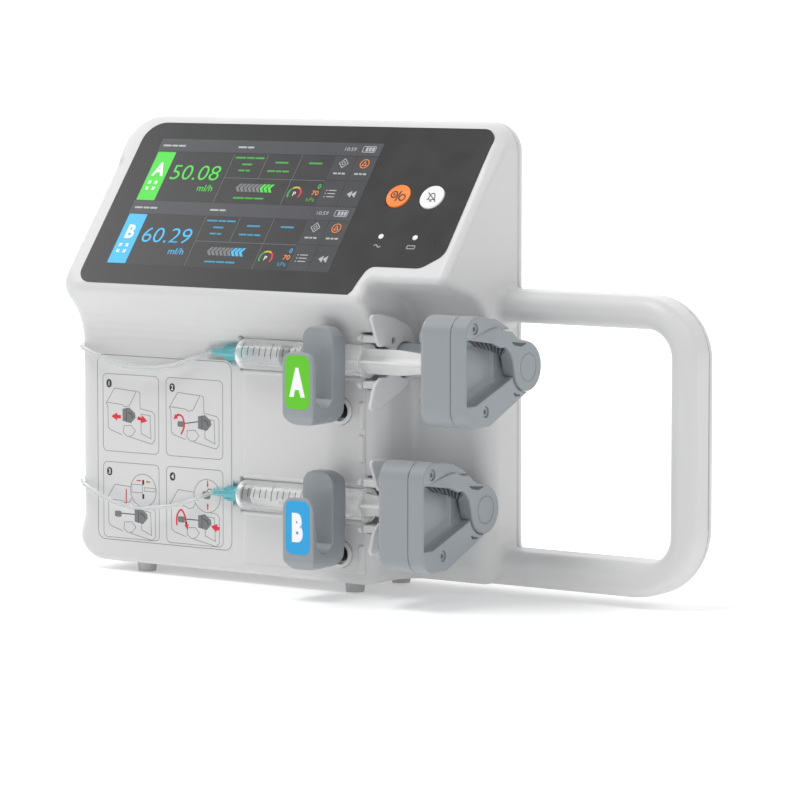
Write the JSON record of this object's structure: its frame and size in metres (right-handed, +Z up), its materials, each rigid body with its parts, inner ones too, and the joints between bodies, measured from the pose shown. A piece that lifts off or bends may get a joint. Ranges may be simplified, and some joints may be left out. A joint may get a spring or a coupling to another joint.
{
  "type": "dual-channel syringe pump",
  "caption": "Desktop infusion unit with a slanted touch screen, stacked syringe drives with clamps and pusher heads, and a loop carry handle.",
  "frame": {"origin": "centre of the footprint box of the pump without its infusion lines, at the underside of the feet", "axes": "+Z up, the screen, syringes and clamps face -Y, the carry handle is on the +X side"},
  "size_m": [0.3858, 0.1617, 0.2551],
  "materials": {
    "housing_white": "satin moulded ABS",
    "label_print": "printed film",
    "front_glass": "polished dark front lens",
    "display": "display panel",
    "key_orange": "satin",
    "key_white": "satin",
    "lamp": "clear light guide",
    "circuit_board": "solder resist",
    "battery_wrap": "shrink wrap",
    "black_plastic": "fine grain",
    "foot_rubber": "matte",
    "steel": "zinc plated",
    "bracket_metal": "as sawn",
    "grey_plastic": "fine grain",
    "dark_plastic": "fine grain",
    "label_green": "printed film",
    "label_blue": "printed film",
    "shaft_steel": "blackened",
    "plate_white": "satin",
    "tube_paint": "dark anodised",
    "syringe_clear": "clear polypropylene",
    "plunger_white": "smooth",
    "seal_rubber": "matte",
    "luer_teal": "translucent",
    "line_pvc": "clear soft PVC"
  },
  "bodies": {
    "housing": {"front_shell": "housing_white", "rear_shell": "housing_white", "syringe_panel": "housing_white", "instruction_label": "label_print", "screen_glass": "front_glass", "lcd_module": "display", "indicators": "lamp", "main_board": "circuit_board", "battery": "battery_wrap", "power_supply": "circuit_board", "ac_inlet": "black_plastic", "feet": "foot_rubber", "shell_screws": "steel", "drive_brackets": "bracket_metal", "clamp_rings": "plate_white", "drive_belts": "foot_rubber", "barrel_a": "syringe_clear", "luer_a": "luer_teal", "barrel_b": "syringe_clear", "luer_b": "luer_teal", "motor_a": "dark_plastic", "motor_b": "dark_plastic", "line_a": "line_pvc", "line_b": "line_pvc", "line_coils": "line_pvc", "line_ends": "luer_teal"},
    "power_key": {"button_power": "key_orange"},
    "mute_key": {"button_mute": "key_white"},
    "pusher_a": {"drive_tube_a": "tube_paint", "carriage_a": "dark_plastic", "head_front_a": "grey_plastic", "head_rear_a": "grey_plastic", "head_screws_a": "steel", "plunger_a": "plunger_white", "seal_a": "seal_rubber"},
    "clutch_a": {"clutch_lever_a": "dark_plastic"},
    "claw_up_a": {"claw_top_a": "dark_plastic"},
    "claw_low_a": {"claw_bottom_a": "dark_plastic"},
    "clamp_rod_a": {"clamp_shaft_a": "shaft_steel"},
    "clamp_arm_a": {"clamp_a": "grey_plastic", "clamp_label_a": "label_green"},
    "plate_a": {"flange_plate_a": "plate_white"},
    "screw_a": {"lead_screw_a": "steel"},
    "rotor_a": {"motor_pulley_a": "steel"},
    "pusher_b": {"drive_tube_b": "tube_paint", "carriage_b": "dark_plastic", "head_front_b": "grey_plastic", "head_rear_b": "grey_plastic", "head_screws_b": "steel", "plunger_b": "plunger_white", "seal_b": "seal_rubber"},
    "clutch_b": {"clutch_lever_b": "dark_plastic"},
    "claw_up_b": {"claw_top_b": "dark_plastic"},
    "claw_low_b": {"claw_bottom_b": "dark_plastic"},
    "clamp_rod_b": {"clamp_shaft_b": "shaft_steel"},
    "clamp_arm_b": {"clamp_b": "grey_plastic", "clamp_label_b": "label_blue"},
    "plate_b": {"flange_plate_b": "plate_white"},
    "screw_b": {"lead_screw_b": "steel"},
    "rotor_b": {"motor_pulley_b": "steel"}
  },
  "joints": [
    {"name": "power_key_press", "type": "slide", "parent": "housing", "child": "power_key", "axis": [0, 0.791, -0.6118], "range_m": [0, 0.0008], "stiffness_N_per_m": 1200},
    {"name": "mute_key_press", "type": "slide", "parent": "housing", "child": "mute_key", "axis": [0, 0.791, -0.6118], "range_m": [0, 0.0008], "stiffness_N_per_m": 1200},
    {"name": "pusher_slide_a", "type": "slide", "parent": "housing", "child": "pusher_a", "axis": [1, 0, 0], "range_m": [-0.0275, 0.038]},
    {"name": "clutch_turn_a", "type": "hinge", "parent": "pusher_a", "child": "clutch_a", "pos_m": [0, 0.004, 0.1275], "axis": [1, 0, 0], "range_deg": [0, 25], "stiffness_Nm_per_rad": 0.25, "springref_deg": -20.05},
    {"name": "claw_turn_top_a", "type": "hinge", "parent": "pusher_a", "child": "claw_up_a", "pos_m": [0, -0.04, 0.1445], "axis": [1, 0, 0], "range_deg": [0, 25]},
    {"name": "claw_turn_low_a", "type": "hinge", "parent": "pusher_a", "child": "claw_low_a", "pos_m": [0, -0.04, 0.1105], "axis": [1, 0, 0], "range_deg": [-25, 0]},
    {"name": "clamp_pull_a", "type": "slide", "parent": "housing", "child": "clamp_rod_a", "axis": [0, -1, 0], "range_m": [0, 0.013], "stiffness_N_per_m": 300, "springref_m": -0.01},
    {"name": "clamp_turn_a", "type": "hinge", "parent": "clamp_rod_a", "child": "clamp_arm_a", "pos_m": [-0.005, -0.03, 0.0995], "axis": [0, -1, 0], "range_deg": [0, 90]},
    {"name": "plate_slide_a", "type": "slide", "parent": "housing", "child": "plate_a", "axis": [1, 0, 0], "range_m": [0, 0.003], "stiffness_N_per_m": 400},
    {"name": "screw_spin_a", "type": "hinge", "parent": "housing", "child": "screw_a", "pos_m": [0, 0.03, 0.1275], "axis": [1, 0, 0], "continuous": true},
    {"name": "rotor_spin_a", "type": "hinge", "parent": "housing", "child": "rotor_a", "pos_m": [0, 0.03, 0.1445], "axis": [1, 0, 0], "continuous": true},
    {"name": "pusher_slide_b", "type": "slide", "parent": "housing", "child": "pusher_b", "axis": [1, 0, 0], "range_m": [-0.001, 0.065]},
    {"name": "clutch_turn_b", "type": "hinge", "parent": "pusher_b", "child": "clutch_b", "pos_m": [0, 0.004, 0.0495], "axis": [1, 0, 0], "range_deg": [0, 25], "stiffness_Nm_per_rad": 0.25, "springref_deg": -20.05},
    {"name": "claw_turn_top_b", "type": "hinge", "parent": "pusher_b", "child": "claw_up_b", "pos_m": [0, -0.04, 0.0665], "axis": [1, 0, 0], "range_deg": [0, 25]},
    {"name": "claw_turn_low_b", "type": "hinge", "parent": "pusher_b", "child": "claw_low_b", "pos_m": [0, -0.04, 0.0325], "axis": [1, 0, 0], "range_deg": [-25, 0]},
    {"name": "clamp_pull_b", "type": "slide", "parent": "housing", "child": "clamp_rod_b", "axis": [0, -1, 0], "range_m": [0, 0.013], "stiffness_N_per_m": 300, "springref_m": -0.01},
    {"name": "clamp_turn_b", "type": "hinge", "parent": "clamp_rod_b", "child": "clamp_arm_b", "pos_m": [-0.005, -0.03, 0.0215], "axis": [0, -1, 0], "range_deg": [0, 90]},
    {"name": "plate_slide_b", "type": "slide", "parent": "housing", "child": "plate_b", "axis": [1, 0, 0], "range_m": [0, 0.003], "stiffness_N_per_m": 400},
    {"name": "screw_spin_b", "type": "hinge", "parent": "housing", "child": "screw_b", "pos_m": [0, 0.03, 0.0495], "axis": [1, 0, 0], "continuous": true},
    {"name": "rotor_spin_b", "type": "hinge", "parent": "housing", "child": "rotor_b", "pos_m": [0, 0.03, 0.0665], "axis": [1, 0, 0], "continuous": true}
  ],
  "couplings": [
    {"joint": "claw_turn_top_a", "follows": "clutch_turn_a", "ratio": 1},
    {"joint": "claw_turn_low_a", "follows": "clutch_turn_a", "ratio": -1},
    {"joint": "rotor_spin_a", "follows": "screw_spin_a", "ratio": 2},
    {"joint": "claw_turn_top_b", "follows": "clutch_turn_b", "ratio": 1},
    {"joint": "claw_turn_low_b", "follows": "clutch_turn_b", "ratio": -1},
    {"joint": "rotor_spin_b", "follows": "screw_spin_b", "ratio": 2}
  ]
}
